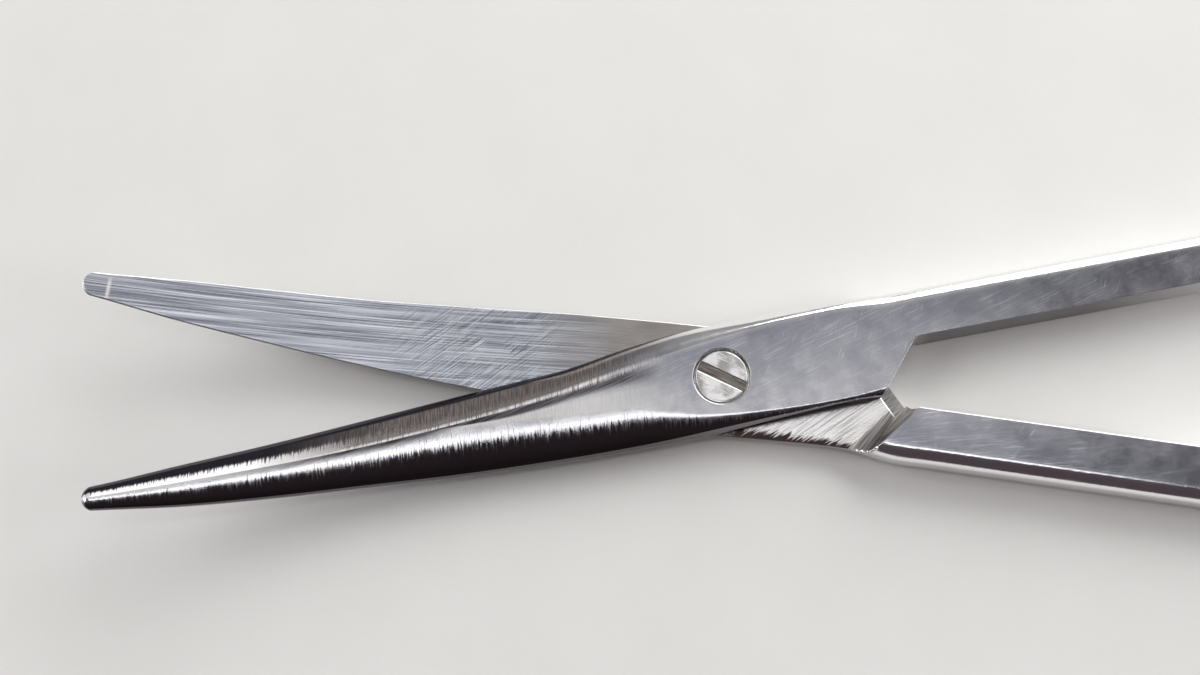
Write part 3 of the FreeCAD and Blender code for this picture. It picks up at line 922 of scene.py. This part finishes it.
def mating_tool(half):
    profile = [(0.0, -AWAY), (0.0, MATING), (CURVE_START, MATING)]
    for i in range(1, BRIM_STEPS + 1):
        r = CURVE_START + (BRIM - CURVE_START) * i / BRIM_STEPS
        profile.append((r, MATING + half.rise * rise_at(r)))
    profile.append((BRIM, -AWAY))
    bpy.ops.object.select_all(action="DESELECT")
    bpy.ops.mesh.primitive_circle_add(vertices=len(profile), radius=1, fill_type="NOTHING")
    piece = name_new("mating", "inner")
    for vertex, (r, z) in zip(piece.data.vertices, profile):
        vertex.co = (r, 0, z)
    start_edit(piece)
    bpy.ops.mesh.spin(steps=SPIN_STEPS, angle=2 * math.pi, center=(0, 0, 0), axis=(0, 0, 1))
    bpy.ops.mesh.select_all(action="SELECT")
    bpy.ops.mesh.remove_doubles(threshold=SAME_PLACE)
    bpy.ops.mesh.delete_loose()
    close_edit()
    give_zone(piece, "inner")
    return piece


def lap_tool(half):
    """What is milled off the inner side, up to the round groove at the shoulder."""
    turn = math.pi / 2 - SHOULDER_ANGLE
    foot = SHOULDER_REACH - MATING
    kept = block("kept", (foot, -AWAY, -2 * AWAY), (2 * AWAY, AWAY, 2 * AWAY), turn, "groove")
    bpy.ops.object.select_all(action="DESELECT")
    bpy.ops.mesh.primitive_cylinder_add(vertices=GROOVE_STEPS, radius=MATING + GROOVE_SPARE, depth=3 * AWAY,
                                        location=(foot, 0, 0), rotation=(math.pi / 2, 0, 0))
    groove = name_new("groove", "groove")
    apply_place(groove)
    groove.data.transform(Matrix.Rotation(turn, 4, "Z"))
    cut(kept, groove)
    return cut(mating_tool(half), kept)


print("the brim rises", round(rise_at(BRIM), 2), "mm at", BRIM, "mm from the pivot")

# %% [markdown]
# The notch makes room for the other half's shank when the scissors are closed.
# Its tool also takes the shank's inner side flat.
# Its wall runs parallel to the shoulder, and a bevel along its lower corner clears the groove.

# %% Notch
NOTCH_SIDE = -12.0  # how far out the tool reaches, past the joint's side
NOTCH_END = 5.0  # how far the tool reaches past the end of the shank


def crossing(point, way, other_point, other_way):
    """Where two lines in the plane meet."""
    gap = other_point - point
    share = (gap.x * other_way.y - gap.y * other_way.x) / (way.x * other_way.y - way.y * other_way.x)
    return point + way * share


def notch_tool(half):
    turn = Matrix.Rotation(half.shank_set, 2)
    slant = Vector((math.cos(NOTCH_ANGLE), math.sin(NOTCH_ANGLE)))
    foot = Vector((slant.y, -slant.x)) * half.notch_reach
    corner = crossing(foot, slant, Vector((0, -JOINT_SIDE - GROOVE_SPARE)), Vector((1, 0)))
    root = crossing(foot, slant, turn @ Vector((0, SHANK_INNER)), turn @ Vector((1, 0)))
    end = turn @ Vector((SHANK_END + NOTCH_END, SHANK_INNER))
    return prism("notch", [
        (corner.x - NOTCH_CORNER, corner.y, 0),
        (corner.x, corner.y, NOTCH_CORNER),
        (root.x, root.y, half.notch_fillet),
        (end.x, end.y, 0),
        (end.x, NOTCH_SIDE, 0),
        (corner.x - NOTCH_CORNER, NOTCH_SIDE, 0),
    ], -AWAY, AWAY)


def notch_bevel(half):
    wall = half.notch_reach
    top = MATING + NOTCH_BEVEL_RISE
    outline = [(wall - NOTCH_BEVEL, MATING - HALF), (wall - NOTCH_BEVEL, MATING), (wall, top),
               (wall + HALF, top), (wall + HALF, MATING - HALF)]
    bevel = prism("bevel", [(x, z, 0) for x, z in outline], -AWAY, AWAY)
    bevel.data.transform(Matrix.Rotation(math.pi / 2, 4, "X"))
    bevel.data.transform(Matrix.Rotation(NOTCH_ANGLE - math.pi / 2, 4, "Z"))
    kept = block("kept", (SHOULDER_REACH - NOTCH_BEVEL_END, -AWAY, -AWAY), (2 * AWAY, AWAY, AWAY),
                 math.pi / 2 - SHOULDER_ANGLE, "cut")
    return cut(bevel, kept)


print("notch walls stand", FRONT.notch_reach, "and", BACK.notch_reach, "mm from the pivot")

# %% [markdown]
# A half is put together from two parts that each use the best way for their shape.
# The blade, joint and straight shank are the milled loft,
# and the curved handle with its ring is carried over from the construction's own mesh.
# The forging's end reaches a little into the handle, and a boolean makes them one.
# The handle's faces are polished flat on top and smooth round the sides, so its UV map goes by their slope.

# %% The two parts of a half
FLAT_U = (GRIND_END + CROWN_END) / 2
ROUND_U = GRIND_END - 0.03
LEVEL, STEEP = 0.95, 0.55  # a normal's upward part on flat faces, and on round ones
BURRS = [  # height above the lower face, and radius of each bead of burr
    (1.85, 0.14), (1.62, 0.19), (1.36, 0.15), (1.14, 0.18),
    (0.90, 0.13), (0.72, 0.17), (0.50, 0.14), (0.28, 0.15),
]
BURR_SIDE = 4.2  # distance from the half's axis beyond which they lie


def slope_u(normal):
    """u of a handle's face: that of the shank's flat on level faces, and of its round side on steep ones."""
    # steep faces so take the round side's painted highlight
    share = (abs(normal.z) - STEEP) / (LEVEL - STEEP)
    return ROUND_U + (FLAT_U - ROUND_U) * min(1.0, max(0.0, share))


def forge(half):
    """Blade, joint and straight shank, with everything milled. The lap's fine cut comes last."""
    table = section_table(half)
    rows = [nosed(smooth_row(table, x), half) for x in stations(half)]
    piece = loft(half.name + "_forging", rows, half)
    cut(piece, notch_tool(half))
    cut(piece, notch_bevel(half))
    if half is FRONT:
        cut(piece, bore(STEM_BORE, -1, THICKNESS + 1))
        cut(piece, bore(HEAD_BORE, HEAD_SEAT, THICKNESS + 1))
    else:
        cut(piece, bore(TAIL_BORE, -1, THICKNESS + 1))
    cut(piece, lap_tool(half))
    return piece


def burrs(piece):
    """Beads of metal that the brush has pushed over the groove's outer end."""
    zones = {}
    for face in piece.data.polygons:
        for index in face.vertices:
            zones.setdefault(index, set()).add(ZONES[face.material_index])
    rim = [vertex.co.copy() for vertex in piece.data.vertices
           if vertex.co.y > BURR_SIDE and {"outer", "groove"} <= zones[vertex.index]]
    beads = []
    for height, radius in BURRS:
        place = min(rim, key=lambda corner: abs(corner.z - height))
        bpy.ops.object.select_all(action="DESELECT")
        bpy.ops.mesh.primitive_ico_sphere_add(subdivisions=3, radius=radius, location=place)
        bead = name_new("burr", "cut")
        apply_place(bead)
        beads.append(bead)
    return beads


def to_drawn(half):
    """From the object's own place, in mm, to where a half is drawn."""
    if half is FRONT:
        return Matrix.Rotation(-OPENING / 2, 4, "Z")
    flip = Matrix.Translation((0, 0, THICKNESS)) @ Matrix.Rotation(math.pi, 4, "X")
    return flip @ Matrix.Rotation(OPENING / 2, 4, "Z")


def handle_copy(half):
    """The handle beyond the straight shank: a merged copy of the construction's mesh, cut and closed."""
    piece = bpy.data.objects.new("handle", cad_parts[half.name].data.copy())
    bpy.context.scene.collection.objects.link(piece)
    piece.data.transform(Matrix.Scale(1 / MM, 4))
    piece.data.transform(to_drawn(half))
    piece.data.transform(Matrix.Rotation(-half.shank_set, 4, "Z"))
    start_edit(piece)
    bpy.ops.mesh.customdata_custom_splitnormals_clear()
    bpy.ops.mesh.remove_doubles(threshold=SAME_PLACE)
    bpy.ops.mesh.bisect(plane_co=(SHANK_END, 0, 0), plane_no=(1, 0, 0), clear_inner=True, use_fill=True)
    bpy.ops.object.mode_set(mode="OBJECT")
    piece.data.transform(Matrix.Rotation(half.shank_set, 4, "Z"))
    for layer in list(piece.data.uv_layers):
        piece.data.uv_layers.remove(layer)
    uv = piece.data.uv_layers.new(name="UVMap").data
    for corner in piece.data.loops:
        uv[corner.index].uv = (slope_u(piece.data.vertices[corner.vertex_index].normal), 1.0)
    give_zone(piece, "outer")
    return piece


print("straight shanks from", SHANK_START, "to", SHANK_END, "mm")

# %% Joining the parts
END_REACH = 0.1  # vertices this close to the forging's end belong to it


def draw_end_in(piece, half):
    """Makes the forging's end the least bit smaller than the handle."""
    turn = Matrix.Rotation(half.shank_set, 3, "Z")
    end = SHANK_END + JOIN_DEPTH
    centre = turn @ Vector((end, SHANK_INNER + half.shank_width / 2, HALF))
    for vertex in piece.data.vertices:
        if vertex.co.dot(turn @ Vector((1, 0, 0))) > end - END_REACH:
            vertex.co = vertex.co.lerp(centre, JOIN_SPARE)


def join(pieces, finishes):
    """One mesh out of several, with their zones' materials in the slots."""
    for piece in pieces:
        for i, material in enumerate(finishes):
            piece.data.materials[i] = material
    bpy.ops.object.select_all(action="DESELECT")
    for piece in pieces:
        piece.select_set(True)
    bpy.context.view_layer.objects.active = pieces[0]
    bpy.ops.object.join()


print("the forging's end reaches", JOIN_DEPTH, "mm into the handle")

# %% [markdown]
# The two halves go through the same steps. The upper one is the front half, bored for the screw's stem
# and head, and the lower one is turned over. Shading is smooth up to an angle, so that the milled corners
# stay crisp while the polished sides run smoothly round. Only the lower half shows burrs.

# %% Both halves
SMOOTH_UP_TO = math.radians(32)


def half_finishes(half):
    """The four steels of a half, in the order of its zones."""
    turn = -half.rise * OPENING / 2
    return [outer_steel("ground_and_polished_steel_" + half.name, turn),
            inner_steel("fitted_inner_steel_" + half.name, turn, -half.rise),
            groove_steel("milled_groove_steel_" + half.name, turn, -half.rise),
            milled_steel("milled_steel_" + half.name, turn)]


def open_edges(piece):
    """Merges what lies together, and counts the edges that then still have no two faces."""
    start_edit(piece)
    bpy.ops.mesh.remove_doubles(threshold=SAME_PLACE)
    bpy.ops.mesh.select_all(action="DESELECT")
    bpy.ops.mesh.select_non_manifold()
    bpy.ops.object.mode_set(mode="OBJECT")
    return sum(edge.select for edge in piece.data.edges)


for half in (FRONT, BACK):
    finishes = half_finishes(half)
    piece = forge(half)
    beads = burrs(piece) if half is BACK else []
    draw_end_in(piece, half)
    cut(piece, handle_copy(half), "UNION")
    join([piece, *beads], finishes)
    print(piece.name, "has", open_edges(piece), "open edges")
    piece.data.transform(to_drawn(half).inverted())
    piece.data.transform(Matrix.Scale(MM, 4))
    bpy.ops.object.shade_smooth_by_angle(angle=SMOOTH_UP_TO)
    even = piece.modifiers.new("even shading", "WEIGHTED_NORMAL")
    even.keep_sharp = True
    bpy.ops.object.modifier_apply(modifier=even.name)
    print(piece.name, "has", len(piece.data.polygons), "faces")
    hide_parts(half.name)
    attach(piece, half.body)

# %% [markdown]
# The screw is the construction's own solid: a sunk head with a driver's slot, a plain stem and a tail.
# Its shape is right as it is, so it only gets its finish.

# %% Pivot screw
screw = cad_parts["pivot_screw"]
screw.data.materials.clear()
screw.data.materials.append(screw_steel("polished_screw_steel"))
print("screw head top at", HEAD_TOP, "mm")
